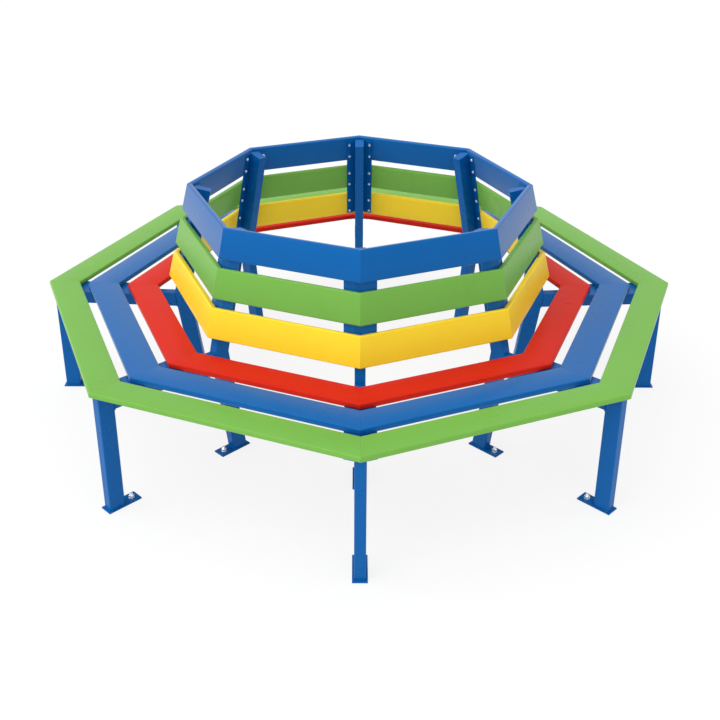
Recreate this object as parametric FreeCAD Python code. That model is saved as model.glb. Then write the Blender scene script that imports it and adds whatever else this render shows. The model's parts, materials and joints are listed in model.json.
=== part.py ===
import FreeCAD
import Part
import math
import os

# Eight-sided bench that stands round a tree trunk, in millimetres, +Z up.
# Eight welded steel frames stand one at each corner of the octagon.
# Each carries the ends of three rings of seat boards and three rings of backrest boards.
# The origin is on the ground, on the axis of the trunk.

# Octagon
side_count = 8
across_corners = 2400.0
front_azimuth = -90.0

# Boards
board_width = 108.0
board_thickness = 20.0
board_gap = 31.5
board_edge_chamfer = 3.0
mitre_gap = 0.5

# Rings of boards: the seat's from the outer edge inwards, the backrest's from the lowest up
seat_ring_names = ["seat_outer_board", "seat_middle_board", "seat_inner_board"]
back_ring_names = ["back_lower_board", "back_middle_board", "back_top_board"]

# Seat
seat_height = 458.0
seat_fall = 2.2

# Backrest
back_lean = 12.9
back_setback = 42.0
back_rise = 22.5

# Steel tube of the frames
tube_depth = 57.0
tube_width = 36.0
tube_wall = 2.5
tube_corner_radius = 4.0

# Frame
leg_inset = 19.5
knee_drop = 46.0
inner_leg_slant = 8.2
post_top_drop = 14.0
cap_thickness = 3.0
cap_corner_cut = 2.5

# Plate on the rail under the seat boards
seat_plate_width = 100.0
seat_plate_thickness = 6.0
seat_plate_margin = 6.0
seat_plate_cover = 10.0

# Bracket on the post behind the backrest boards: a flat web with a wing on each side
bracket_thickness = 5.0
bracket_web_margin = 1.0
bracket_reach = 54.0
bracket_bend_radius = 3.0
bracket_top_margin = 6.0
bracket_bottom_margin = 15.0

# Foot plates and their anchor holes
foot_length = 125.0
foot_width = 48.0
foot_thickness = 5.0
outer_foot_overhang = 8.0
inner_foot_overhang = 9.5
anchor_hole_diameter = 13.0
anchor_edge_distance = 24.0

# Helper length for cutting bodies, always longer than the bench is wide
reach = 2 * across_corners

# How close two directions or two points must be to count as one
direction_tolerance = 1e-4
point_tolerance = 0.01

# Angles and radii that follow from the sizes above
half_sector = math.pi / side_count
sector_degrees = 360.0 / side_count
fall = math.radians(seat_fall)
lean = math.radians(back_lean)
slant = math.radians(inner_leg_slant)
corner_radius = across_corners / 2.0
seat_outer_apothem = corner_radius * math.cos(half_sector)
ring_pitch = board_width + board_gap
seat_rings_width = len(seat_ring_names) * ring_pitch - board_gap
back_rings_width = len(back_ring_names) * ring_pitch - board_gap
seat_inner_apothem = seat_outer_apothem - seat_rings_width * math.cos(fall)
back_foot_apothem = seat_inner_apothem - back_setback
back_foot_height = seat_height + back_rise

# The corner line of the backrest leans further from upright than its flat faces.
# Seen along that line, each face turns away from square to the frame by face_turn.
corner_lean = math.atan(math.tan(lean) / math.cos(half_sector))
face_turn = math.asin(math.cos(lean) * math.sin(half_sector))


def plane_point(radius, height, offset=0.0):
    """Point of the frame plane: radius outwards, height up, offset sideways."""
    return FreeCAD.Vector(radius, offset, height)


def turned(shape, azimuth):
    """Copy of a shape turned about the trunk's axis."""
    moved = shape.copy()
    moved.rotate(FreeCAD.Vector(0, 0, 0), FreeCAD.Vector(0, 0, 1), azimuth)
    return moved


def prism(points, direction):
    """Solid swept from a closed outline of points."""
    wire = Part.makePolygon(points + [points[0]])
    return Part.Face(wire).extrude(direction)


def side_prism(outline, width):
    """Solid of the given width, centred on the frame plane, from radius and height pairs."""
    points = [plane_point(radius, height, -width / 2.0) for radius, height in outline]
    return prism(points, FreeCAD.Vector(0, width, 0))


def long_edges(solid, direction, least_length):
    """Edges that run along a direction and are at least so long."""
    found = []
    for edge in solid.Edges:
        run = edge.Vertexes[-1].Point - edge.Vertexes[0].Point
        if run.Length < least_length:
            continue
        if run.cross(direction).Length < run.Length * direction_tolerance:
            found.append(edge)
    return found


def back_corner_radius(height):
    """Radius of the corner line on the backrest's front faces."""
    apothem = back_foot_apothem - (height - back_foot_height) * math.tan(lean)
    return apothem / math.cos(half_sector)


def seat_underside(radius):
    """Height of the seat boards' underside along a corner of the octagon."""
    drop = (corner_radius - radius) * math.cos(half_sector) * math.tan(fall)
    return seat_height - drop - board_thickness / math.cos(fall)


def rail_top(radius):
    return seat_underside(radius) - seat_plate_thickness


def rail_bottom(radius):
    return rail_top(radius) - tube_depth


def behind_boards(offset, layer):
    """Depth from the corner line to a layer behind the boards, at an offset from the frame plane."""
    return (board_thickness + layer) / math.cos(face_turn) + offset * math.tan(face_turn)


# Bracket and post: the wings lie on the boards' back faces, and the post stands behind the web
web_half_width = tube_width / 2.0 + bracket_web_margin
web_depth = behind_boards(web_half_width, 0.0)
post_setback = web_depth + bracket_thickness
post_shift = post_setback / math.cos(corner_lean)
post_depth_flat = tube_depth / math.cos(corner_lean)
leg_depth_flat = tube_depth / math.cos(slant)
knee_height = seat_height - knee_drop
knee_radius = back_corner_radius(knee_height) - post_shift


def post_outer(height):
    return back_corner_radius(height) - post_shift


def post_inner(height):
    return post_outer(height) - post_depth_flat


def inner_leg_outer(height):
    return knee_radius - (knee_height - height) * math.tan(slant)


def inner_leg_inner(height):
    return inner_leg_outer(height) - leg_depth_flat


# The knee's mitre runs from the outer to the inner crossing of post and leg
knee_step = post_depth_flat - leg_depth_flat
knee_inner_height = knee_height - knee_step / (math.tan(corner_lean) + math.tan(slant))

# Outer leg and both foot plates
leg_outer_radius = corner_radius - leg_inset
leg_inner_radius = leg_outer_radius - tube_depth
outer_foot_end = leg_outer_radius + outer_foot_overhang
outer_foot_start = outer_foot_end - foot_length
inner_foot_start = inner_leg_inner(foot_thickness) - inner_foot_overhang
inner_foot_end = inner_foot_start + foot_length
outer_anchor_radius = outer_foot_start + anchor_edge_distance
inner_anchor_radius = inner_foot_end - anchor_edge_distance

# Backrest heights at the corner line
back_top_height = back_foot_height + back_rings_width * math.cos(lean)
post_top_height = back_top_height - post_top_drop


def sector_wedge():
    """The space of one side of the octagon, less half a mitre gap at each end."""
    shift = mitre_gap / 2.0 / math.sin(half_sector)
    half_span = (reach - shift) * math.tan(half_sector)
    points = [
        FreeCAD.Vector(shift, 0, -reach),
        FreeCAD.Vector(reach, -half_span, -reach),
        FreeCAD.Vector(reach, half_span, -reach),
    ]
    return prism(points, FreeCAD.Vector(0, 0, 2 * reach))


def board(front_edge, along, inward):
    """One board of a side, from the middle of its front edge, along its width and inwards."""
    start = front_edge - FreeCAD.Vector(0, corner_radius, 0)
    points = [
        start,
        start + along * board_width,
        start + along * board_width + inward * board_thickness,
        start + inward * board_thickness,
    ]
    run = FreeCAD.Vector(0, across_corners, 0)
    plank = prism(points, run)
    edges = long_edges(plank, run, corner_radius)
    plank = plank.makeChamfer(board_edge_chamfer, edges)
    return plank.common(sector_wedge()).Solids[0]


def seat_board(ring):
    """Seat board of a ring, counted from the outer edge towards the tree."""
    along = FreeCAD.Vector(-math.cos(fall), 0, -math.sin(fall))
    inward = FreeCAD.Vector(math.sin(fall), 0, -math.cos(fall))
    first = FreeCAD.Vector(seat_outer_apothem, 0, seat_height)
    return board(first + along * (ring * ring_pitch), along, inward)


def back_board(ring):
    """Backrest board of a ring, counted from the lowest upwards."""
    along = FreeCAD.Vector(-math.sin(lean), 0, math.cos(lean))
    inward = FreeCAD.Vector(-math.cos(lean), 0, -math.sin(lean))
    first = FreeCAD.Vector(back_foot_apothem, 0, back_foot_height)
    return board(first + along * (ring * ring_pitch), along, inward)


def tube_run(start, end):
    """Hollow tube along a line of the frame plane, run on past both ends."""
    direction = (end - start).normalize()
    side = FreeCAD.Vector(0, 1, 0)
    across = direction.cross(side)
    overrun = 2 * tube_depth
    length = (end - start).Length + 2 * overrun
    origin = start - direction * overrun

    def block(depth, width):
        corner = origin - across * (depth / 2.0) - side * (width / 2.0)
        points = [
            corner,
            corner + across * depth,
            corner + across * depth + side * width,
            corner + side * width,
        ]
        return prism(points, direction * length)

    outside = block(tube_depth, tube_width)
    edges = long_edges(outside, direction, length / 2.0)
    outside = outside.makeFillet(tube_corner_radius, edges)
    inside = block(tube_depth - 2 * tube_wall, tube_width - 2 * tube_wall)
    return outside.cut(inside)


def member(outline, start, end):
    """Length of tube cut to an outline of the frame plane."""
    run = tube_run(plane_point(*start), plane_point(*end))
    clear_width = 2 * tube_width
    return run.common(side_prism(outline, clear_width)).Solids[0]


def outer_leg():
    middle = (leg_inner_radius + leg_outer_radius) / 2.0
    outline = [
        (leg_inner_radius, foot_thickness),
        (leg_outer_radius, foot_thickness),
        (leg_outer_radius, rail_top(leg_outer_radius)),
        (leg_inner_radius, rail_top(leg_inner_radius)),
    ]
    return member(outline, (middle, foot_thickness), (middle, rail_top(middle)))


def meets_rail(line, rail_line):
    """Radius and height where a straight line of the frame plane crosses a line of the rail."""
    slope = line(1.0) - line(0.0)
    rail_slope = rail_line(1.0) - rail_line(0.0)
    height = (rail_line(0.0) + rail_slope * line(0.0)) / (1.0 - rail_slope * slope)
    return line(height), height


def seat_rail():
    """Rail between the outer leg and the knee of the post."""
    top_inner = meets_rail(post_outer, rail_top)
    bottom_inner = meets_rail(inner_leg_outer, rail_bottom)
    outline = [
        (leg_inner_radius, rail_bottom(leg_inner_radius)),
        (leg_inner_radius, rail_top(leg_inner_radius)),
        top_inner,
        (knee_radius, knee_height),
        bottom_inner,
    ]
    outer_middle = rail_top(leg_inner_radius) - tube_depth / 2.0
    inner_middle = rail_top(knee_radius) - tube_depth / 2.0
    return member(outline, (leg_inner_radius, outer_middle), (knee_radius, inner_middle))


def back_post():
    """Upper part of the inner member, from the knee up to its cap."""
    cap_drop = cap_thickness / math.cos(corner_lean)
    outer_top = post_top_height - cap_drop
    inner_top = outer_top - tube_depth * math.sin(corner_lean)
    inner_top_radius = post_inner(inner_top)
    outline = [
        (knee_radius, knee_height),
        (post_outer(outer_top), outer_top),
        (inner_top_radius, inner_top),
        (post_inner(knee_inner_height), knee_inner_height),
    ]
    start = (knee_radius - post_depth_flat / 2.0, knee_height)
    end = (post_outer(outer_top) - post_depth_flat / 2.0, outer_top)
    return member(outline, start, end)


def inner_leg():
    """Lower part of the inner member, from the knee down to its foot plate."""
    outline = [
        (knee_radius, knee_height),
        (post_inner(knee_inner_height), knee_inner_height),
        (inner_leg_inner(foot_thickness), foot_thickness),
        (inner_leg_outer(foot_thickness), foot_thickness),
    ]
    start = (knee_radius - leg_depth_flat / 2.0, knee_height)
    end = (inner_leg_outer(foot_thickness) - leg_depth_flat / 2.0, foot_thickness)
    return member(outline, start, end)


def post_directions():
    """Directions of the leaning post: out of its outer face, sideways and up along it."""
    outwards = FreeCAD.Vector(math.cos(corner_lean), 0, math.sin(corner_lean))
    upwards = FreeCAD.Vector(-math.sin(corner_lean), 0, math.cos(corner_lean))
    return outwards, FreeCAD.Vector(0, 1, 0), upwards


def rounded_at(solid, point, direction, radius):
    """Round the edge of a solid that starts at a point and runs along a direction."""
    edges = []
    for edge in long_edges(solid, direction, radius):
        if min(vertex.Point.distanceToPoint(point) for vertex in edge.Vertexes) < point_tolerance:
            edges.append(edge)
    return solid.makeFillet(radius, edges)


def post_cap():
    """Flat plate that closes the top of the post."""
    outwards, sideways, upwards = post_directions()
    edge = plane_point(post_outer(post_top_height), post_top_height)
    corner = edge - sideways * (tube_width / 2.0) - upwards * cap_thickness
    points = [
        corner,
        corner - outwards * tube_depth,
        corner - outwards * tube_depth + sideways * tube_width,
        corner + sideways * tube_width,
    ]
    plate = prism(points, upwards * cap_thickness)
    edges = long_edges(plate, upwards, cap_thickness / 2.0)
    return plate.makeChamfer(cap_corner_cut, edges)


def back_bracket():
    """Plate on the post's outer face, with a wing on each side bent back behind the boards."""
    outwards, sideways, upwards = post_directions()
    bottom_height = back_foot_height + bracket_bottom_margin
    top_height = back_top_height - bracket_top_margin
    corner = plane_point(back_corner_radius(bottom_height), bottom_height)
    length = (top_height - bottom_height) / math.cos(corner_lean)

    def at(depth, offset):
        return corner - outwards * depth + sideways * offset

    back_bend = (post_setback - behind_boards(0.0, bracket_thickness)) / math.tan(face_turn)
    tip_depth = behind_boards(bracket_reach, 0.0)
    inner_tip_depth = tip_depth + bracket_thickness * math.cos(face_turn)
    inner_tip_offset = bracket_reach - bracket_thickness * math.sin(face_turn)
    one_side = [
        (web_depth, web_half_width),
        (tip_depth, bracket_reach),
        (inner_tip_depth, inner_tip_offset),
        (post_setback, back_bend),
    ]
    points = [at(depth, offset) for depth, offset in one_side]
    points += [at(depth, -offset) for depth, offset in reversed(one_side)]
    plate = prism(points, upwards * length)
    for hand in (1.0, -1.0):
        outer_radius = bracket_bend_radius + bracket_thickness
        plate = rounded_at(plate, at(web_depth, hand * web_half_width), upwards, outer_radius)
        plate = rounded_at(plate, at(post_setback, hand * back_bend), upwards, bracket_bend_radius)
    return plate


def seat_plate():
    """Flat plate on the rail under the seat boards, its outer end cut back along their edges."""
    start = seat_inner_apothem / math.cos(half_sector) + seat_plate_margin
    end = leg_outer_radius
    outline = [
        (start, rail_top(start)),
        (end, rail_top(end)),
        (end, seat_underside(end)),
        (start, seat_underside(start)),
    ]
    plate = side_prism(outline, seat_plate_width)
    tip = (seat_outer_apothem - seat_plate_cover) / math.cos(half_sector)
    cut_back = tip - seat_plate_width * math.tan(half_sector)
    covered = [
        FreeCAD.Vector(0, -seat_plate_width, 0),
        FreeCAD.Vector(cut_back, -seat_plate_width, 0),
        FreeCAD.Vector(tip, 0, 0),
        FreeCAD.Vector(cut_back, seat_plate_width, 0),
        FreeCAD.Vector(0, seat_plate_width, 0),
    ]
    under_boards = prism(covered, FreeCAD.Vector(0, 0, seat_height))
    return plate.common(under_boards).Solids[0]


def foot_plate(start, anchor_radius):
    """Flat plate under a leg, with one hole for a ground anchor."""
    corner = FreeCAD.Vector(start, -foot_width / 2.0, 0)
    plate = Part.makeBox(foot_length, foot_width, foot_thickness, corner)
    hole_start = FreeCAD.Vector(anchor_radius, 0, 0)
    hole = Part.makeCylinder(anchor_hole_diameter / 2.0, foot_thickness, hole_start)
    return plate.cut(hole)


def frame():
    """One welded frame in the plane of azimuth zero."""
    return [
        outer_leg(),
        seat_rail(),
        back_post(),
        inner_leg(),
        post_cap(),
        back_bracket(),
        seat_plate(),
        foot_plate(outer_foot_start, outer_anchor_radius),
        foot_plate(inner_foot_start, inner_anchor_radius),
    ]


def export(shapes, name):
    """Write one node: a solid, or several that belong to one welded piece."""
    shape = shapes[0] if len(shapes) == 1 else Part.makeCompound(shapes)
    shape.exportStep("parts/" + name + ".step")


os.makedirs("parts", exist_ok=True)

frame_solids = frame()
boards = {}
for ring, name in enumerate(seat_ring_names):
    boards[name] = seat_board(ring)
for ring, name in enumerate(back_ring_names):
    boards[name] = back_board(ring)

for index in range(side_count):
    corner_azimuth = front_azimuth + index * sector_degrees
    side_azimuth = corner_azimuth + sector_degrees / 2.0
    number = str(index + 1)
    export([turned(solid, corner_azimuth) for solid in frame_solids], "frame_" + number)
    for name, plank in boards.items():
        export([turned(plank, side_azimuth)], name + "_" + number)

print("outer anchor circle", round(2 * outer_anchor_radius, 3))
print("inner anchor circle", round(2 * inner_anchor_radius, 3))
print("backrest top", round(back_top_height, 3))
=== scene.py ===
"""Looks of an eight-sided tree bench: its boards, welds, fixings, finishes, light and camera."""

import json
import math

import bpy
from mathutils import Matrix, Vector


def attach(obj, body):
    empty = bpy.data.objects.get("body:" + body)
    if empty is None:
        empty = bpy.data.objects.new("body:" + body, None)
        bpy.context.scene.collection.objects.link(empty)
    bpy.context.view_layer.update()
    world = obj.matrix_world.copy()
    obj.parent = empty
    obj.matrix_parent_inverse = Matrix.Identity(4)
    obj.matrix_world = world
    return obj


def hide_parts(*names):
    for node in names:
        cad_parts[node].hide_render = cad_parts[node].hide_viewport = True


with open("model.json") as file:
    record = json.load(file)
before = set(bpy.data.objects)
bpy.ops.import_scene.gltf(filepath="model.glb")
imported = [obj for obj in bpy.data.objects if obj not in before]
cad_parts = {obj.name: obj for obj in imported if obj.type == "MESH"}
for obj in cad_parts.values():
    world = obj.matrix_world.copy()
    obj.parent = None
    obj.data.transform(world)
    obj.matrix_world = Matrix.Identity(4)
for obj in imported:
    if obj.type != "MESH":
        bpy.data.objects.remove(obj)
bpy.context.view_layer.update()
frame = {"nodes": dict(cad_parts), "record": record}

bl_info = {
    "name": "Tree Bench Looks",
    "version": (1, 0, 0),
    "blender": (4, 5, 0),
    "location": "View3D > Sidebar > Tree Bench",
    "description": "Dresses a packed tree bench with boards, welds, fixings, finishes and a studio",
    "category": "Object",
}

MM = 0.001
# Slack when faces and points are chosen by their height
SLACK = 0.1 * MM
BODY = "root"
SIDES = 8
# Frames and sides are numbered from the front corner, anticlockwise seen from above
NUMBERS = range(1, SIDES + 1)
HALF_SIDE = math.pi / SIDES
FRONT = math.radians(-90)
SEAT_RINGS = [("seat_outer", "green"), ("seat_middle", "blue"), ("seat_inner", "red")]
BACK_RINGS = [("back_lower", "yellow"), ("back_middle", "green"), ("back_top", "blue")]
# Index and haze of each paint. Enamel has an index of about 1.5, but the photographed boards
# mirror less: the blue hazes over at low angles, and the red hardly mirrors
PAINT_GLOSS = {
    "green": (1.24, 0.0),
    "blue": (1.22, 0.4),
    "red": (1.14, 0.0),
    "yellow": (1.24, 0.0),
}


def linear(hex_code):
    """Linear RGBA of an sRGB hex colour."""
    channels = [int(hex_code[i:i + 2], 16) / 255 for i in (1, 3, 5)]
    return [c / 12.92 if c <= 0.04045 else ((c + 0.055) / 1.055) ** 2.4 for c in channels] + [1.0]


def length(name, description, millimetres):
    """Property for a length, written in millimetres."""
    return bpy.props.FloatProperty(
        name=name, description=description, default=millimetres * MM, unit="LENGTH", precision=4
    )


def turn(name, description, degrees):
    """Property for an angle, written in degrees."""
    return bpy.props.FloatProperty(
        name=name, description=description, default=math.radians(degrees), unit="ROTATION"
    )


def colour(name, description, hex_code):
    """Property for a colour, written as sRGB hex."""
    return bpy.props.FloatVectorProperty(
        name=name,
        description=description,
        default=linear(hex_code),
        size=4,
        subtype="COLOR",
        min=0,
        max=1,
    )


class BoardSizes(bpy.types.PropertyGroup):
    """Sizes of the seat and backrest boards."""

    width: length("Width", "Width of every board", 108)
    thickness: length("Thickness", "Thickness of every board", 20)
    gap: length("Gap", "Gap between two rings of boards", 31.5)
    edge_radius: length("Edge radius", "Rounding along the boards' long edges", 5)
    seat_mitre: length("Seat mitre", "Gap between two seat boards at a corner", 0.2)
    back_mitre: length("Back mitre", "Gap between two backrest boards at a corner", 0.04)
    corner_radius: length("Corner radius", "Radius of the seat's outer corners", 1200)
    seat_height: length("Seat height", "Height of the seat's outer edge", 458)
    seat_fall: turn("Seat fall", "Slope of the seat towards the tree", 2.2)
    back_lean: turn("Back lean", "Lean of the backrest towards the tree", 12.9)
    back_setback: length("Back setback", "Backrest's foot behind the seat's inner edge", 42)
    back_rise: length("Back rise", "Backrest's foot above the seat's outer edge", 22.5)


class FrameSizes(bpy.types.PropertyGroup):
    """Sizes of the steel frames that the welds and fixings follow."""

    tube_depth: length("Tube depth", "Tube's larger side", 57)
    tube_width: length("Tube width", "Tube's smaller side", 36)
    tube_corner: length("Tube corner", "Rounding of the tube's corners", 4)
    leg_inset: length("Leg inset", "Outer leg's face behind the seat's outer corner", 19.5)
    knee_drop: length("Knee drop", "Knee of the inner member below the seat's outer edge", 46)
    inner_leg_slant: turn("Inner leg slant", "Slant of the inner leg towards the tree", 8.2)
    foot_thickness: length("Foot plate", "Thickness of the foot plates", 5)
    bracket_thickness: length("Bracket", "Thickness of the bracket on the post", 5)
    bracket_web_margin: length("Web margin", "Bracket's web beyond each side of the post", 1)
    bracket_bottom_margin: length(
        "Bracket foot", "Bracket's foot above the backrest's lower edge", 15
    )
    seat_plate: length("Seat plate", "Thickness of the plate under the seat boards", 6)
    bead: length("Weld bead", "Radius of a weld bead", 2.4)
    flush_bead: length("Flush weld", "Radius of a weld between two flush tube sides", 0.8)
    stitch: length("Stitch weld", "Length of one stitch weld", 45)


class FixingSizes(bpy.types.PropertyGroup):
    """Sizes and places of the screws and ground anchors."""

    head_diameter: length("Screw head", "Diameter of a screw's head", 13)
    head_height: length("Head height", "Height of a screw's head", 4.6)
    recess_diameter: length("Screw recess", "Diameter of the six-lobed recess", 5.2)
    back_offset: length("Back screw offset", "Back screws from the plane of the frame", 42)
    back_edge: length("Back screw edge", "Lower back screw from the board's lower edge", 23)
    back_pitch: length("Back screw pitch", "Between a board end's two back screws", 55)
    seat_offset: length("Seat screw offset", "Seat screws from the plane of the frame", 38)
    seat_edge: length("Seat screw edge", "Seat screws from the board's edges", 26)
    washer_diameter: length("Washer", "Diameter of an anchor's washer", 20)
    washer_height: length("Washer height", "Thickness of an anchor's washer", 2)
    nut_width: length("Nut", "Anchor nut across its flats", 17)
    nut_height: length("Nut height", "Height of an anchor's nut", 8)
    stud_diameter: length("Stud", "Diameter of an anchor's stud", 10)
    stud_pitch: length("Stud pitch", "Pitch of an anchor's thread", 1.5)


class Finishes(bpy.types.PropertyGroup):
    """Colours of the paints, the zinc and the floor."""

    green: colour("Green", "Paint of the green boards", "#73AE49")
    blue: colour("Blue", "Paint of the blue boards", "#005EA6")
    red: colour("Red", "Paint of the red boards", "#CF2819")
    yellow: colour("Yellow", "Paint of the yellow boards", "#FFD730")
    steel: colour("Steel", "Powder coat of the frames", "#005CA4")
    zinc: colour("Zinc", "Zinc plating of the screws and anchors", "#F4F7FA")
    floor: colour("Floor", "Floor of the studio", "#F6F6F6")


class BenchSettings(bpy.types.PropertyGroup):
    """Everything that a user can set."""

    boards: bpy.props.PointerProperty(type=BoardSizes)
    frames: bpy.props.PointerProperty(type=FrameSizes)
    fixings: bpy.props.PointerProperty(type=FixingSizes)
    finishes: bpy.props.PointerProperty(type=Finishes)


# Modelling

def activate(obj):
    """Make one object the only selected and active one."""
    bpy.ops.object.select_all(action="DESELECT")
    obj.select_set(True)
    bpy.context.view_layer.objects.active = obj


def primitive(add, **sizes):
    """Add a primitive at its size and place, and move that place into its mesh."""
    bpy.ops.object.select_all(action="DESELECT")
    add(**sizes)
    bpy.ops.object.transform_apply(location=True, rotation=True, scale=True)
    return bpy.context.object


def edit(obj, mode, chosen):
    """Open a mesh for editing, with only the points, edges or faces that a test accepts."""
    activate(obj)
    bpy.ops.object.mode_set(mode="EDIT")
    bpy.ops.mesh.select_mode(type=mode)
    bpy.ops.mesh.select_all(action="DESELECT")
    bpy.ops.object.mode_set(mode="OBJECT")
    mesh = obj.data
    for element in {"VERT": mesh.vertices, "EDGE": mesh.edges, "FACE": mesh.polygons}[mode]:
        element.select = chosen(element)
    bpy.ops.object.mode_set(mode="EDIT")


def everything(element):
    """Test that accepts every point, edge or face."""
    return True


def end_edit():
    """Close the mesh that is open for editing."""
    bpy.ops.object.mode_set(mode="OBJECT")


def extrude(by):
    """Extrude what is selected along a vector."""
    bpy.ops.mesh.extrude_region_move(TRANSFORM_OT_translate={"value": by})


def joined(parts, name):
    """Several meshes as one piece."""
    activate(parts[0])
    for part in parts[1:]:
        part.select_set(True)
    bpy.ops.object.join()
    parts[0].name = name
    parts[0].data.name = name
    return parts[0]


def copied(source, name, matrix):
    """Copy of a piece with its own mesh, moved within that mesh."""
    mesh = source.data.copy()
    mesh.name = name
    mesh.transform(matrix)
    obj = bpy.data.objects.new(name, mesh)
    bpy.context.scene.collection.objects.link(obj)
    return obj


def removed(obj):
    """Delete a shape that was only there to be copied."""
    mesh = obj.data
    bpy.data.objects.remove(obj)
    bpy.data.meshes.remove(mesh)


def smoothed(obj, degrees=35):
    """Smooth shading that keeps edges sharper than an angle."""
    activate(obj)
    bpy.ops.object.shade_smooth_by_angle(angle=math.radians(degrees))
    return obj


# Places

def about_axis(azimuth):
    """Turn about the trunk's axis."""
    return Matrix.Rotation(azimuth, 4, "Z")


def corner_azimuth(number):
    """Direction of a frame from the trunk's axis."""
    return FRONT + (number - 1) * 2 * HALF_SIDE


def side_azimuth(number):
    """Direction of a side's middle from the trunk's axis."""
    return corner_azimuth(number) + HALF_SIDE


def basis(across, normal, origin):
    """Place whose X runs across a board and whose Z stands out of its face."""
    columns = [across, normal.cross(across), normal]
    return Matrix.Translation(origin) @ Matrix(columns).transposed().to_4x4()


def seat_place(boards):
    """Place of the seat's outer edge on a side that faces along X."""
    fall = boards.seat_fall
    across = Vector((-math.cos(fall), 0, -math.sin(fall)))
    normal = Vector((-math.sin(fall), 0, math.cos(fall)))
    origin = Vector((boards.corner_radius * math.cos(HALF_SIDE), 0, boards.seat_height))
    return basis(across, normal, origin)


def back_place(boards):
    """Place of the backrest's lower edge on a side that faces along X."""
    lean = boards.back_lean
    across = Vector((-math.sin(lean), 0, math.cos(lean)))
    normal = Vector((math.cos(lean), 0, math.sin(lean)))
    rings = len(SEAT_RINGS) * (boards.width + boards.gap) - boards.gap
    apothem = boards.corner_radius * math.cos(HALF_SIDE) - rings * math.cos(boards.seat_fall)
    origin = Vector((apothem - boards.back_setback, 0, boards.seat_height + boards.back_rise))
    return basis(across, normal, origin)


class FramePlane:
    """Places in the upright plane of one frame, as radius and height, worked out from the sizes."""

    def __init__(self, settings):
        boards = settings.boards
        frames = settings.frames
        self.boards = boards
        self.frames = frames
        self.foot = back_place(boards).translation
        self.corner_lean = math.atan(math.tan(boards.back_lean) / math.cos(HALF_SIDE))
        self.face_turn = math.asin(math.cos(boards.back_lean) * math.sin(HALF_SIDE))
        web = frames.tube_width / 2 + frames.bracket_web_margin
        behind_web = boards.thickness / math.cos(self.face_turn)
        self.web_depth = behind_web + web * math.tan(self.face_turn)
        self.knee_height = boards.seat_height - frames.knee_drop

    def behind_corner(self, height, depth):
        """Point behind the backrest's corner line, at a depth square to that line."""
        apothem = self.foot.x - (height - self.foot.z) * math.tan(self.boards.back_lean)
        radius = apothem / math.cos(HALF_SIDE) - depth / math.cos(self.corner_lean)
        return Vector((radius, 0, height))

    def post_face(self, height):
        """Point on the post's outer face."""
        return self.behind_corner(height, self.web_depth + self.frames.bracket_thickness)

    def inner_leg_face(self, height):
        """Point on the inner leg's outer face."""
        knee = self.post_face(self.knee_height)
        below_knee = self.knee_height - height
        return Vector((knee.x - below_knee * math.tan(self.frames.inner_leg_slant), 0, height))

    def rail_top(self, radius):
        """Point on the rail's top, under the seat plate."""
        slope = math.cos(HALF_SIDE) * math.tan(self.boards.seat_fall)
        layers = self.boards.thickness / math.cos(self.boards.seat_fall) + self.frames.seat_plate
        corner = self.boards.corner_radius
        return Vector((radius, 0, self.boards.seat_height - (corner - radius) * slope - layers))

    def leg_inner_radius(self):
        """Radius of the outer leg's face that the rail meets."""
        return self.boards.corner_radius - self.frames.leg_inset - self.frames.tube_depth


# Boards

def board(boards, place, ring, name, mitre_gap):
    """Board of one ring on the side that faces along X: a rounded plank cut at both mitres."""
    middle = ring * (boards.width + boards.gap) + boards.width / 2
    plank = primitive(
        bpy.ops.mesh.primitive_cube_add,
        size=1,
        location=place @ Vector((middle, 0, -boards.thickness / 2)),
        rotation=place.to_euler(),
        scale=(boards.width, 2 * boards.corner_radius, boards.thickness),
    )
    plank.name = name
    points = plank.data.vertices

    def runs_along(edge):
        first, second = (points[i].co for i in edge.vertices)
        return abs(first.y - second.y) > boards.corner_radius

    edit(plank, "EDGE", runs_along)
    bpy.ops.mesh.bevel(offset=boards.edge_radius, segments=4, profile=0.5, affect="EDGES")
    for hand in (1, -1):
        cut = Vector((-math.sin(HALF_SIDE), hand * math.cos(HALF_SIDE), 0))
        bpy.ops.mesh.select_all(action="SELECT")
        bpy.ops.mesh.bisect(
            plane_co=cut * (-mitre_gap / 2), plane_no=cut, use_fill=True, clear_outer=True
        )
    end_edit()
    return smoothed(plank)


def mark_grain(plank, place, azimuth, number, ring):
    """Give each point its place on its own plank, so that the grain runs along it."""
    to_plank = (about_axis(azimuth) @ place).inverted()
    # No two planks show the same stretch of grain
    ring_shift, board_shift, depth_shift = 0.37, 1.9, 0.23
    shift = Vector((ring_shift * ring, board_shift * number, depth_shift * number))
    grain = plank.data.attributes.new("plank_place", "FLOAT_VECTOR", "POINT")
    for point, value in zip(plank.data.vertices, grain.data):
        value.vector = to_plank @ point.co + shift


def ring_of_boards(settings, place, ring, name, paint, mitre_gap):
    """Eight boards of one ring, each in place of its CAD node."""
    source = board(settings.boards, place, ring, name, mitre_gap)
    for number in NUMBERS:
        azimuth = side_azimuth(number)
        plank = copied(source, "%s_plank_%d" % (name, number), about_axis(azimuth))
        mark_grain(plank, place, azimuth, number, ring)
        plank.data.materials.append(painted_pine(settings, paint))
        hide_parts("%s_board_%d" % (name, number))
        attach(plank, BODY)
    removed(source)


# Screws and anchors

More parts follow.
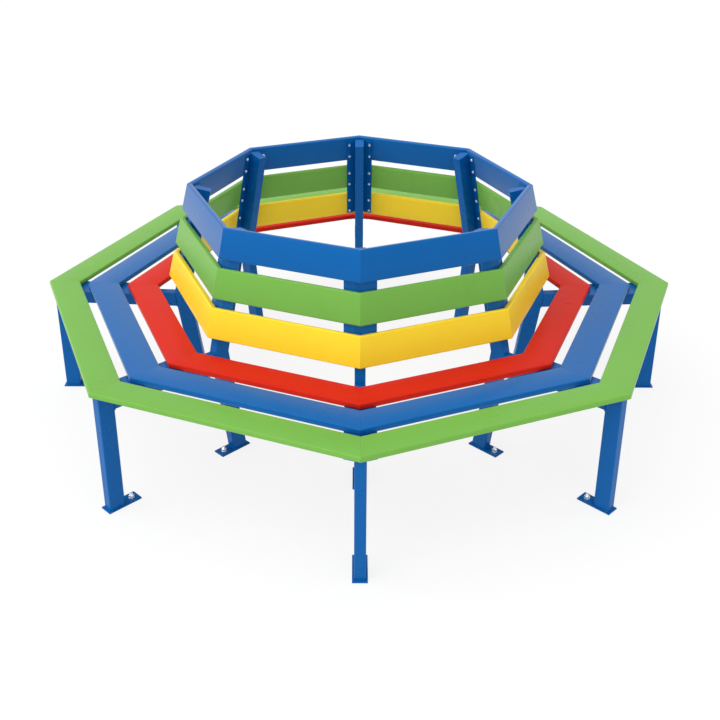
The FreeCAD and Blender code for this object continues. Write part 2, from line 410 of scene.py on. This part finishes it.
def screw_head(fixings):
    """Pan head with a six-lobed recess, standing on the origin along +Z."""
    lobes = 6
    lobe_depth = 0.16
    radius = fixings.head_diameter / 2
    top = fixings.head_height
    crown = 0.6 * top
    rim = 0.28 * radius
    recess = fixings.recess_diameter / 2
    recess_depth = 0.35 * top
    recess_zone = 0.62 * radius
    head = primitive(
        bpy.ops.mesh.primitive_cylinder_add,
        vertices=3 * lobes,
        radius=radius,
        depth=top,
        location=(0, 0, top / 2),
    )
    edit(head, "FACE", lambda face: face.center.z > top - SLACK)
    bpy.ops.mesh.bevel(offset=crown, segments=2, profile=0.6, affect="EDGES")
    bpy.ops.mesh.inset(thickness=rim)
    end_edit()
    flat = max(head.data.polygons, key=lambda face: (round(face.center.z, 6), len(face.vertices)))
    flat_index = flat.index
    edit(head, "FACE", lambda face: face.index == flat_index)
    extrude((0, 0, -recess_depth))
    end_edit()
    # The recess's wall and mouth are drawn in to six lobes
    for point in head.data.vertices:
        reach = math.hypot(point.co.x, point.co.y)
        if 0 < reach < recess_zone and point.co.z > SLACK:
            wave = (1 + math.cos(lobes * math.atan2(point.co.y, point.co.x))) / 2
            lobe = recess * (1 - lobe_depth * wave)
            point.co.x *= lobe / reach
            point.co.y *= lobe / reach
    return smoothed(head, degrees=40)


def spread(source, name, matrices, material):
    """One piece from copies of a shape at several places."""
    copies = [copied(source, name, matrix) for matrix in matrices]
    piece = joined(copies, name)
    piece.data.materials.clear()
    piece.data.materials.append(material)
    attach(piece, BODY)


def screw_rows(boards, place, edge, pitch, offset, depth):
    """Places of the screws behind one side's boards, six at each end, heads off the boards."""
    places = []
    for ring in range(len(BACK_RINGS)):
        for step in (0, 1):
            across = ring * (boards.width + boards.gap) + edge + step * pitch
            foot = place @ Vector((across, 0, -depth))
            reach = foot.x * math.tan(HALF_SIDE) - offset / math.cos(HALF_SIDE)
            for hand in (1, -1):
                spot = Matrix.Translation((foot.x, hand * reach, foot.z))
                places.append(spot @ place.to_3x3().to_4x4() @ Matrix.Rotation(math.pi, 4, "X"))
    return places


def screws(settings, kind, places):
    """One group of screws for each side, from their places on the side that faces along X."""
    head = screw_head(settings.fixings)
    for number in NUMBERS:
        side = about_axis(side_azimuth(number))
        name = "%s_screws_%d" % (kind, number)
        spread(head, name, [side @ spot for spot in places], zinc_plated_steel(settings))
    removed(head)


def washer(fixings, foot):
    """Flat washer with softened rims."""
    rim = 0.4 * MM
    disc = primitive(
        bpy.ops.mesh.primitive_cylinder_add,
        vertices=36,
        radius=fixings.washer_diameter / 2,
        depth=fixings.washer_height,
        location=(0, 0, foot + fixings.washer_height / 2),
    )
    # Both flat faces are chosen, and the bevel runs round their rims
    edit(disc, "FACE", lambda face: abs(face.normal.z) > 0.5)
    bpy.ops.mesh.bevel(offset=rim, segments=2, affect="EDGES")
    end_edit()
    return smoothed(disc)


def hexagon_nut(fixings, foot):
    """Hexagon nut with its top corners taken off, turned as a spanner left it."""
    chamfer = 1.2 * MM
    left_turned = math.radians(12)
    top = foot + fixings.nut_height
    nut = primitive(
        bpy.ops.mesh.primitive_cylinder_add,
        vertices=6,
        radius=fixings.nut_width / math.sqrt(3),
        depth=fixings.nut_height,
        location=(0, 0, foot + fixings.nut_height / 2),
        rotation=(0, 0, left_turned),
    )
    edit(nut, "VERT", lambda point: point.co.z > top - SLACK)
    bpy.ops.mesh.bevel(offset=chamfer, segments=1, affect="EDGES")
    end_edit()
    return smoothed(nut, degrees=25)


def threaded_stud(fixings, foot, top):
    """Stud that rises out of the ground, threaded where it stands above the nut."""
    root_share = 0.88
    tip_share = 0.82
    tip_height = 0.6 * MM
    stud = primitive(
        bpy.ops.mesh.primitive_circle_add,
        vertices=20,
        radius=fixings.stud_diameter / 2,
        fill_type="NGON",
    )
    edit(stud, "FACE", everything)
    extrude((0, 0, foot))
    for _ in range(round((top - foot) / fixings.stud_pitch)):
        for width in (root_share, 1 / root_share):
            extrude((0, 0, fixings.stud_pitch / 2))
            bpy.ops.transform.resize(value=(width, width, 1))
    extrude((0, 0, tip_height))
    bpy.ops.transform.resize(value=(tip_share, tip_share, 1))
    bpy.ops.mesh.select_all(action="SELECT")
    bpy.ops.mesh.normals_make_consistent(inside=False)
    end_edit()
    return smoothed(stud, degrees=25)


def ground_anchor(settings):
    """Washer, nut and stud of one anchor, standing on the ground at the origin."""
    turns_above_nut = 5
    fixings = settings.fixings
    foot = settings.frames.foot_thickness
    seat = foot + fixings.washer_height
    top = seat + fixings.nut_height
    stud_end = top + turns_above_nut * fixings.stud_pitch
    parts = [
        washer(fixings, foot),
        hexagon_nut(fixings, seat),
        threaded_stud(fixings, top, stud_end),
    ]
    return joined(parts, "anchor")


# Welds

def piped(path, radius):
    """Round bead along the edges of a wire mesh."""
    activate(path)
    bpy.ops.object.convert(target="CURVE")
    path = bpy.context.object
    path.data.bevel_depth = radius
    path.data.bevel_resolution = 1
    path.data.use_fill_caps = True
    bpy.ops.object.convert(target="MESH")
    return smoothed(bpy.context.object, degrees=60)


def weld_round(frames, start, end):
    """Weld bead round a tube's cut end, whose section runs from start to end in its plane."""
    run = end - start
    loop = primitive(bpy.ops.mesh.primitive_plane_add, size=1)
    edit(loop, "VERT", everything)
    bpy.ops.transform.resize(value=(run.length, frames.tube_width, 1))
    bpy.ops.mesh.bevel(offset=frames.tube_corner, segments=3, affect="VERTICES")
    bpy.ops.mesh.delete(type="ONLY_FACE")
    end_edit()
    along = run.normalized()
    sideways = Vector((0, 1, 0))
    turned = Matrix([along, sideways, along.cross(sideways)]).transposed().to_4x4()
    loop.data.transform(Matrix.Translation((start + end) / 2) @ turned)
    return piped(loop, frames.bead)


def weld_run(radius, start, end):
    """Straight weld bead between two points."""
    run = primitive(bpy.ops.mesh.primitive_plane_add, size=1)
    edit(run, "VERT", everything)
    bpy.ops.mesh.merge(type="CENTER")
    bpy.ops.transform.translate(value=start)
    extrude(end - start)
    end_edit()
    return piped(run, radius)


def rail_welds(frames, upper, lower):
    """Welds at one end of the rail: flush up both sides, and a full bead across below."""
    side = Vector((0, frames.tube_width / 2, 0))
    return [
        weld_run(frames.flush_bead, upper + side, lower + side),
        weld_run(frames.flush_bead, upper - side, lower - side),
        weld_run(frames.bead, lower + side, lower - side),
    ]


def bracket_welds(plane):
    """Stitch welds where the bracket's web meets both edges of the post."""
    frames = plane.frames
    stitches = 3
    stitch_pitch = 2.4 * frames.stitch
    lowest = plane.foot.z + frames.bracket_bottom_margin + 2 * frames.stitch
    upwards = Vector((-math.sin(plane.corner_lean), 0, math.cos(plane.corner_lean)))
    parts = []
    for step in range(stitches):
        middle = plane.post_face(lowest + step * stitch_pitch)
        for hand in (1, -1):
            start = middle + Vector((0, hand * (frames.tube_width / 2 - frames.bead / 2), 0))
            parts.append(weld_run(frames.bead, start, start + upwards * frames.stitch))
    return parts


def frame_welds(settings):
    """All weld beads of the frame that stands in the plane of azimuth zero."""
    plane = FramePlane(settings)
    frames = settings.frames
    foot = frames.foot_thickness
    leg = Vector((plane.leg_inner_radius(), 0, foot))
    inner_leg = plane.inner_leg_face(foot)
    slanted_depth = Vector((frames.tube_depth / math.cos(frames.inner_leg_slant), 0, 0))
    rail_end = plane.rail_top(leg.x)
    knee = plane.post_face(plane.knee_height)
    below_knee = plane.inner_leg_face(plane.rail_top(knee.x).z - frames.tube_depth)
    parts = [
        weld_round(frames, leg, leg + Vector((frames.tube_depth, 0, 0))),
        weld_round(frames, inner_leg, inner_leg - slanted_depth),
        *rail_welds(frames, rail_end, rail_end - Vector((0, 0, frames.tube_depth))),
        *rail_welds(frames, knee, below_knee),
        *bracket_welds(plane),
    ]
    return joined(parts, "welds")


# Materials

def add_node(tree, kind, inputs=None, **settings):
    """Add a node with its settings; inputs takes values, or sockets to link from."""
    node = tree.nodes.new(kind)
    for name, value in settings.items():
        setattr(node, name, value)
    for name, value in (inputs or {}).items():
        if isinstance(value, bpy.types.NodeSocket):
            tree.links.new(value, node.inputs[name])
        else:
            node.inputs[name].default_value = value
    return node


def new_material(name):
    """Empty material and its node tree, or the material and None where it was made before."""
    if name in bpy.data.materials:
        return bpy.data.materials[name], None
    material = bpy.data.materials.new(name)
    material.use_nodes = True
    material.node_tree.nodes.clear()
    return material, material.node_tree


def drifting(tree, pattern, hue, tint, smoothest, roughest):
    """Colour and roughness of a finish, both drifting a little with a noise pattern."""
    darker = [channel * (1 - tint) for channel in hue[:3]] + [1]
    lighter = [min(1, channel * (1 + tint)) for channel in hue[:3]] + [1]
    # A colour mix has its share at input 0, its colours at 6 and 7, and its result at output 2
    blend = add_node(
        tree, "ShaderNodeMix", {0: pattern, 6: darker, 7: lighter}, data_type="RGBA"
    )
    # Nearly all of a noise pattern lies between 0.3 and 0.7
    gloss = add_node(
        tree,
        "ShaderNodeMapRange",
        {
            "Value": pattern,
            "From Min": 0.3,
            "From Max": 0.7,
            "To Min": smoothest,
            "To Max": roughest,
        },
    )
    return {"Base Color": blend.outputs[2], "Roughness": gloss.outputs[0]}


def painted_pine(settings, paint):
    """Planed pine under two coats of satin exterior enamel.

    The eye gets a smooth, evenly coloured board whose grain shows only as a faint relief along it.
    """
    material, tree = new_material("planed_pine_satin_enamel_" + paint)
    if tree is None:
        return material
    hue = list(getattr(settings.finishes, paint))
    place = add_node(tree, "ShaderNodeAttribute", attribute_name="plank_place").outputs["Vector"]
    # Growth rings are about 4 mm apart across the board and run for some 300 mm along it
    ring_width = 4 * MM
    ring_run = 300 * MM
    along = add_node(
        tree,
        "ShaderNodeMapping",
        {"Vector": place, "Scale": (1 / ring_width, 1 / ring_run, 1 / ring_width)},
    )
    rings = add_node(
        tree,
        "ShaderNodeTexNoise",
        {"Vector": along.outputs[0], "Scale": 1.0, "Detail": 3.0, "Distortion": 0.15},
    )
    # The roller leaves a stipple about 3 mm across
    stipple_width = 3 * MM
    stipple = add_node(
        tree, "ShaderNodeTexNoise", {"Vector": place, "Scale": 1 / stipple_width, "Detail": 2.0}
    )
    # The coats are a little thicker and glossier here and there, over some 160 mm
    drift_width = 160 * MM
    drift = add_node(
        tree, "ShaderNodeTexNoise", {"Vector": place, "Scale": 1 / drift_width, "Detail": 4.0}
    )
    grain_relief = add_node(
        tree,
        "ShaderNodeBump",
        {"Height": rings.outputs[0], "Distance": 0.25 * MM, "Strength": 0.6},
    )
    relief = add_node(
        tree,
        "ShaderNodeBump",
        {
            "Height": stipple.outputs[0],
            "Distance": 0.08 * MM,
            "Strength": 0.5,
            "Normal": grain_relief.outputs[0],
        },
    )
    index, haze = PAINT_GLOSS[paint]
    shader = add_node(
        tree,
        "ShaderNodeBsdfPrincipled",
        {
            **drifting(tree, drift.outputs[0], hue, tint=0.05, smoothest=0.26, roughest=0.34),
            "IOR": index,
            "Sheen Weight": haze,
            "Sheen Roughness": 0.35,
            "Normal": relief.outputs[0],
        },
    )
    add_node(tree, "ShaderNodeOutputMaterial", {"Surface": shader.outputs[0]})
    return material


def powder_coated_steel(settings):
    """Welded steel tube with a stoved powder coat.

    The eye gets a deep, even blue with a soft gloss that the coat's orange peel breaks up slightly.
    """
    material, tree = new_material("powder_coated_steel_blue")
    if tree is None:
        return material
    hue = list(settings.finishes.steel)
    place = add_node(tree, "ShaderNodeTexCoord").outputs["Object"]
    # The orange peel's hollows are about 2 mm across
    peel_width = 2 * MM
    peel = add_node(
        tree, "ShaderNodeTexNoise", {"Vector": place, "Scale": 1 / peel_width, "Detail": 1.0}
    )
    # The gun lays the coat in passes some 120 mm wide
    drift_width = 120 * MM
    drift = add_node(
        tree, "ShaderNodeTexNoise", {"Vector": place, "Scale": 1 / drift_width, "Detail": 3.0}
    )
    relief = add_node(
        tree,
        "ShaderNodeBump",
        {"Height": peel.outputs[0], "Distance": 0.06 * MM, "Strength": 0.5},
    )
    # Powder coat has an index of about 1.5, but the photographed frames mirror less
    index = 1.24
    shader = add_node(
        tree,
        "ShaderNodeBsdfPrincipled",
        {
            **drifting(tree, drift.outputs[0], hue, tint=0.04, smoothest=0.25, roughest=0.33),
            "IOR": index,
            "Normal": relief.outputs[0],
        },
    )
    add_node(tree, "ShaderNodeOutputMaterial", {"Surface": shader.outputs[0]})
    return material


def zinc_plated_steel(settings):
    """Cold-headed steel with bright zinc plating.

    The eye gets small silver heads that catch the light, with a slightly cloudy grain.
    """
    material, tree = new_material("bright_zinc_plated_steel")
    if tree is None:
        return material
    hue = list(settings.finishes.zinc)
    place = add_node(tree, "ShaderNodeTexCoord").outputs["Object"]
    # The plating's clouds are about 3 mm across
    cloud_width = 3 * MM
    cloud = add_node(
        tree, "ShaderNodeTexNoise", {"Vector": place, "Scale": 1 / cloud_width, "Detail": 3.0}
    )
    shader = add_node(
        tree,
        "ShaderNodeBsdfPrincipled",
        {
            **drifting(tree, cloud.outputs[0], hue, tint=0.05, smoothest=0.26, roughest=0.38),
            "Metallic": 1.0,
        },
    )
    add_node(tree, "ShaderNodeOutputMaterial", {"Surface": shader.outputs[0]})
    return material


def seen_directly(tree):
    """One for the camera's rays and for rays through gloss or glass, none for diffuse light."""
    path = add_node(tree, "ShaderNodeLightPath")
    total = path.outputs["Is Camera Ray"]
    for kind in ("Is Glossy Ray", "Is Transmission Ray"):
        either = add_node(
            tree, "ShaderNodeMath", {0: total, 1: path.outputs[kind]}, operation="MAXIMUM"
        )
        total = either.outputs[0]
    return total


def studio_floor(settings):
    """Matt white studio floor, seen and mirrored mostly as plain white, with a faint shadow."""
    material, tree = new_material("matt_white_studio_floor")
    if tree is None:
        return material
    plain_white = 0.8
    hue = list(settings.finishes.floor)
    matt = add_node(tree, "ShaderNodeBsdfDiffuse", {"Color": hue})
    glow = add_node(tree, "ShaderNodeEmission", {"Color": (1, 1, 1, 1), "Strength": 1.0})
    share = add_node(
        tree, "ShaderNodeMath", {0: seen_directly(tree), 1: plain_white}, operation="MULTIPLY"
    )
    mix = add_node(
        tree,
        "ShaderNodeMixShader",
        {0: share.outputs[0], 1: matt.outputs[0], 2: glow.outputs[0]},
    )
    add_node(tree, "ShaderNodeOutputMaterial", {"Surface": mix.outputs[0]})
    return material


# Light and camera

def soft_sun(name, strength, azimuth, elevation):
    """Even, very soft light from a direction given in degrees."""
    softness = 70
    lamp = bpy.data.lights.new(name, "SUN")
    lamp.energy = strength
    lamp.angle = math.radians(softness)
    holder = bpy.data.objects.new(name, lamp)
    bpy.context.scene.collection.objects.link(holder)
    level = Vector((math.cos(math.radians(azimuth)), math.sin(math.radians(azimuth)), 0))
    towards = level * math.cos(math.radians(elevation))
    towards.z = math.sin(math.radians(elevation))
    holder.rotation_euler = towards.to_track_quat("Z", "Y").to_euler()


def studio_world(scene):
    """White surroundings: plain white where they are seen or mirrored, softer as light."""
    light = 0.68
    world = bpy.data.worlds.new("studio")
    scene.world = world
    world.use_nodes = True
    tree = world.node_tree
    tree.nodes.clear()
    level = add_node(
        tree, "ShaderNodeMapRange", {"Value": seen_directly(tree), "To Min": light, "To Max": 1.0}
    )
    surroundings = add_node(
        tree, "ShaderNodeBackground", {"Color": (1, 1, 1, 1), "Strength": level.outputs[0]}
    )
    add_node(tree, "ShaderNodeOutputWorld", {"Surface": surroundings.outputs[0]})


def photo_camera(scene):
    """Camera at the photograph's viewing angle, for a square picture."""
    picture = 720
    focal_pixels = 1022.017
    centre_x, centre_y = 359.475, 282.137
    distance = 3.966192
    azimuth, elevation, roll = math.radians(-0.281), math.radians(24.392), math.radians(0.282)
    target = Vector((0, 0, 0.455))
    back = Vector(
        (
            math.sin(azimuth) * math.cos(elevation),
            -math.cos(azimuth) * math.cos(elevation),
            math.sin(elevation),
        )
    )
    lens = bpy.data.cameras.new("photo_camera")
    lens.sensor_width = 36
    lens.lens = focal_pixels / picture * lens.sensor_width
    lens.shift_x = (picture / 2 - centre_x) / picture
    lens.shift_y = (centre_y - picture / 2) / picture
    lens.dof.use_dof = False
    camera = bpy.data.objects.new("photo_camera", lens)
    scene.collection.objects.link(camera)
    looking = (-back).to_track_quat("-Z", "Y").to_matrix().to_4x4()
    turned = looking @ Matrix.Rotation(roll, 4, "Z")
    camera.matrix_world = Matrix.Translation(target + back * distance) @ turned
    scene.camera = camera


# Operators

class BENCH_OT_frames(bpy.types.Operator):
    """Give the welded frames their powder coat"""

    bl_idname = "bench.frames"
    bl_label = "Coat the Frames"

    def execute(self, context):
        coat = powder_coated_steel(context.scene.tree_bench)
        for name, node in frame["nodes"].items():
            if name.startswith("frame_"):
                node.data.materials.clear()
                node.data.materials.append(coat)
        return {"FINISHED"}


class BENCH_OT_welds(bpy.types.Operator):
    """Lay the weld beads on the frames' joints"""

    bl_idname = "bench.welds"
    bl_label = "Weld Beads"

    def execute(self, context):
        settings = context.scene.tree_bench
        beads = frame_welds(settings)
        for number in NUMBERS:
            piece = copied(beads, "weld_beads_%d" % number, about_axis(corner_azimuth(number)))
            piece.data.materials.append(powder_coated_steel(settings))
            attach(piece, BODY)
        removed(beads)
        return {"FINISHED"}


class BENCH_OT_seat_boards(bpy.types.Operator):
    """Make the three rings of seat boards"""

    bl_idname = "bench.seat_boards"
    bl_label = "Seat Boards"

    def execute(self, context):
        settings = context.scene.tree_bench
        place = seat_place(settings.boards)
        for ring, (name, paint) in enumerate(SEAT_RINGS):
            ring_of_boards(settings, place, ring, name, paint, settings.boards.seat_mitre)
        return {"FINISHED"}


class BENCH_OT_back_boards(bpy.types.Operator):
    """Make the three rings of backrest boards"""

    bl_idname = "bench.back_boards"
    bl_label = "Backrest Boards"

    def execute(self, context):
        settings = context.scene.tree_bench
        place = back_place(settings.boards)
        for ring, (name, paint) in enumerate(BACK_RINGS):
            ring_of_boards(settings, place, ring, name, paint, settings.boards.back_mitre)
        return {"FINISHED"}


class BENCH_OT_back_screws(bpy.types.Operator):
    """Put the screws through the posts' brackets into the backrest boards"""

    bl_idname = "bench.back_screws"
    bl_label = "Backrest Screws"

    def execute(self, context):
        settings = context.scene.tree_bench
        boards = settings.boards
        fixings = settings.fixings
        edge, pitch, offset = fixings.back_edge, fixings.back_pitch, fixings.back_offset
        depth = boards.thickness + settings.frames.bracket_thickness
        places = screw_rows(boards, back_place(boards), edge, pitch, offset, depth)
        screws(settings, "back", places)
        return {"FINISHED"}


class BENCH_OT_seat_screws(bpy.types.Operator):
    """Put the screws through the seat plates into the seat boards from below"""

    bl_idname = "bench.seat_screws"
    bl_label = "Seat Screws"

    def execute(self, context):
        settings = context.scene.tree_bench
        boards = settings.boards
        fixings = settings.fixings
        edge, offset = fixings.seat_edge, fixings.seat_offset
        pitch = boards.width - 2 * edge
        # The boards rise about this far off the level plate between the corner and the screws
        rise = 0.5 * MM
        depth = boards.thickness + settings.frames.seat_plate + rise
        places = screw_rows(boards, seat_place(boards), edge, pitch, offset, depth)
        screws(settings, "seat", places)
        return {"FINISHED"}


class BENCH_OT_ground_anchors(bpy.types.Operator):
    """Put a washer, nut and stud on each foot plate's anchor hole"""

    bl_idname = "bench.ground_anchors"
    bl_label = "Ground Anchors"

    def execute(self, context):
        settings = context.scene.tree_bench
        mounts = frame["record"]["mounts"]
        circles = [m["dims"]["pcd_mm"] / 2 * MM for m in mounts if m["kind"] == "bolt_pattern"]
        anchor = ground_anchor(settings)
        for number in NUMBERS:
            turned = about_axis(corner_azimuth(number))
            spots = [turned @ Matrix.Translation((radius, 0, 0)) for radius in circles]
            spread(anchor, "ground_anchors_%d" % number, spots, zinc_plated_steel(settings))
        removed(anchor)
        return {"FINISHED"}


class BENCH_OT_stage(bpy.types.Operator):
    """Lay the floor, hang the lights and set up the camera"""

    bl_idname = "bench.stage"
    bl_label = "Studio"

    def execute(self, context):
        context.scene.view_settings.view_transform = "Standard"
        # A hair below the foot plates, so that no two faces lie in the same plane
        drop = 0.3 * MM
        floor_side = 60
        floor = primitive(
            bpy.ops.mesh.primitive_plane_add, size=floor_side, location=(0, 0, -drop)
        )
        floor.name = "studio_floor"
        floor.data.materials.append(studio_floor(context.scene.tree_bench))
        studio_world(context.scene)
        soft_sun("above", 0.3, azimuth=-90, elevation=90)
        soft_sun("left", 1.55, azimuth=-170, elevation=40)
        soft_sun("front", 0.6, azimuth=-90, elevation=50)
        photo_camera(context.scene)
        return {"FINISHED"}


OPERATORS = [
    BENCH_OT_frames,
    BENCH_OT_welds,
    BENCH_OT_seat_boards,
    BENCH_OT_back_boards,
    BENCH_OT_back_screws,
    BENCH_OT_seat_screws,
    BENCH_OT_ground_anchors,
    BENCH_OT_stage,
]


class BENCH_PT_panel(bpy.types.Panel):
    """Lists the bench's settings and the steps that dress it"""

    bl_idname = "BENCH_PT_panel"
    bl_label = "Tree Bench"
    bl_space_type = "VIEW_3D"
    bl_region_type = "UI"
    bl_category = "Tree Bench"

    def draw(self, context):
        settings = context.scene.tree_bench
        for group in (settings.boards, settings.frames, settings.fixings, settings.finishes):
            box = self.layout.box()
            for name in group.__annotations__:
                box.prop(group, name)
        for operator in OPERATORS:
            self.layout.operator(operator.bl_idname)


CLASSES = [
    BoardSizes,
    FrameSizes,
    FixingSizes,
    Finishes,
    BenchSettings,
    *OPERATORS,
    BENCH_PT_panel,
]


def register():
    """Add the bench's settings, operators and panel to Blender."""
    for cls in CLASSES:
        bpy.utils.register_class(cls)
    bpy.types.Scene.tree_bench = bpy.props.PointerProperty(type=BenchSettings)


def unregister():
    """Take the bench's settings, operators and panel out of Blender."""
    del bpy.types.Scene.tree_bench
    for cls in reversed(CLASSES):
        bpy.utils.unregister_class(cls)


def main():
    """Dress the bench."""
    register()
    bpy.ops.bench.frames()
    bpy.ops.bench.welds()
    bpy.ops.bench.seat_boards()
    bpy.ops.bench.back_boards()
    bpy.ops.bench.back_screws()
    bpy.ops.bench.seat_screws()
    bpy.ops.bench.ground_anchors()
    bpy.ops.bench.stage()


if __name__ == "__main__":
    main()
